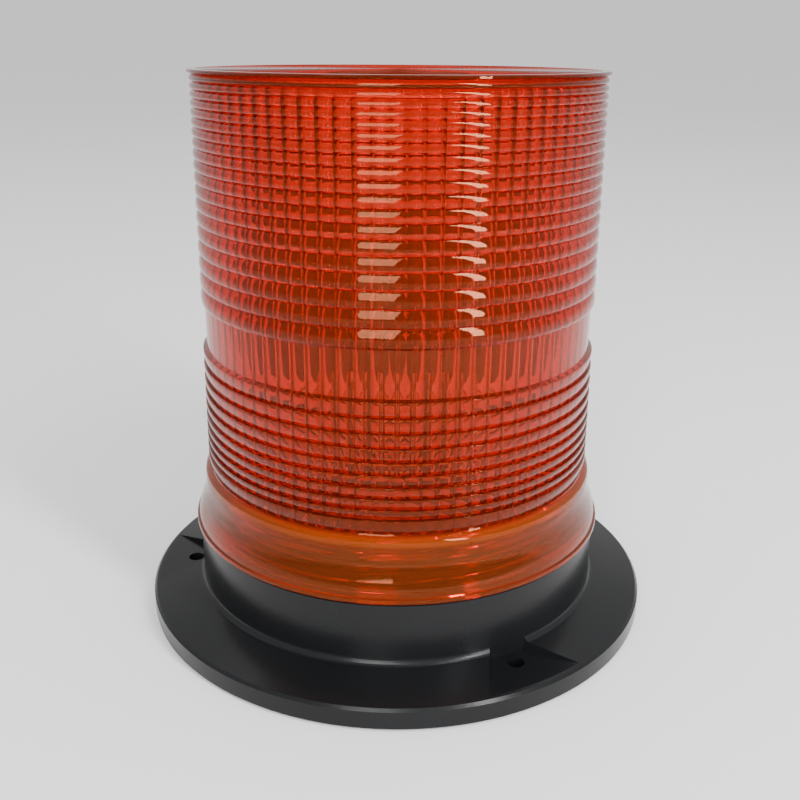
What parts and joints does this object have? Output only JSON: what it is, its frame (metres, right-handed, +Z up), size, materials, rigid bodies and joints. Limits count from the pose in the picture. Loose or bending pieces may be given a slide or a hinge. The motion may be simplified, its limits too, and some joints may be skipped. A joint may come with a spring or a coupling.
{
  "type": "rotating warning beacon",
  "caption": "Amber flange-mounted warning beacon: a ribbed screw-on lens over a lamp and a motor-driven rotating reflector, on a round black base.",
  "frame": {"origin": "centre of the flange's underside", "axes": "+Z up along the beacon's axis; -Y towards the front, midway between two mounting holes' azimuths of +X 60 degrees either way"},
  "size_m": [0.165, 0.165, 0.1696],
  "materials": {
    "black_moulding": "satin, fine moulded texture",
    "black_rubber": "matt",
    "black_inner_plastic": "satin",
    "zinc_steel": "zinc plated",
    "turned_aluminium": "turned",
    "white_nylon": "satin",
    "spring_steel": "bright",
    "cream_thermoset": "satin",
    "contact_brass": "bright",
    "lamp_cap_metal": "satin nickel",
    "lamp_glass": "clear",
    "tungsten": "drawn wire",
    "natural_acetal": "satin",
    "reflector_chrome": "vacuum metallised",
    "motor_steel": "zinc plated",
    "ferrite": "sintered",
    "capacitor_coating": "dipped coating",
    "shaft_steel": "ground",
    "armature_copper": "varnished winding",
    "red_insulation": "satin",
    "black_insulation": "satin",
    "amber_lens": "clear amber polycarbonate, moulded prisms"
  },
  "bodies": {
    "beacon_base": {"base": "black_moulding", "cable_grommet": "black_rubber", "chassis_plate": "black_inner_plastic", "chassis_screws": "zinc_steel", "lamp_post": "turned_aluminium", "post_screws": "zinc_steel", "thrust_washer": "white_nylon", "retaining_ring": "spring_steel", "lamp_holder": "cream_thermoset", "lamp_contact": "contact_brass", "lamp_cap": "lamp_cap_metal", "lamp_glass": "lamp_glass", "lamp_filament": "tungsten", "lamp_clip": "spring_steel", "motor_can": "motor_steel", "motor_magnets": "ferrite", "motor_end_cap": "black_inner_plastic", "motor_terminals": "contact_brass", "suppressor_capacitor": "capacitor_coating", "motor_screws": "zinc_steel", "terminal_block": "cream_thermoset", "terminal_screws": "contact_brass", "lamp_leads": "red_insulation", "motor_leads": "black_insulation"},
    "turntable": {"turntable_gear": "natural_acetal", "reflector": "reflector_chrome", "reflector_screws": "zinc_steel"},
    "motor_rotor": {"motor_shaft": "shaft_steel", "motor_armature": "armature_copper", "motor_pinion": "natural_acetal"},
    "lens_seat": {"lens_gasket": "black_rubber"},
    "lens_cover": {"lens": "amber_lens"}
  },
  "joints": [
    {"name": "reflector_spin", "type": "hinge", "parent": "beacon_base", "child": "turntable", "pos_m": [0, 0, 0.05], "axis": [0, 0, 1], "continuous": true},
    {"name": "motor_spin", "type": "hinge", "parent": "beacon_base", "child": "motor_rotor", "pos_m": [-0.02494, -0.0144, 0.05], "axis": [0, 0, 1], "continuous": true},
    {"name": "lens_turn", "type": "hinge", "parent": "lens_seat", "child": "lens_cover", "pos_m": [0, 0, 0.04], "axis": [0, 0, 1], "range_deg": [0, 1080]},
    {"name": "lens_lift", "type": "slide", "parent": "beacon_base", "child": "lens_seat", "axis": [0, 0, 1], "range_m": [0, 0.01426]}
  ],
  "couplings": [
    {"joint": "motor_spin", "follows": "reflector_spin", "ratio": -5},
    {"joint": "lens_lift", "follows": "lens_turn", "m_per_rad": 0.00075599}
  ]
}
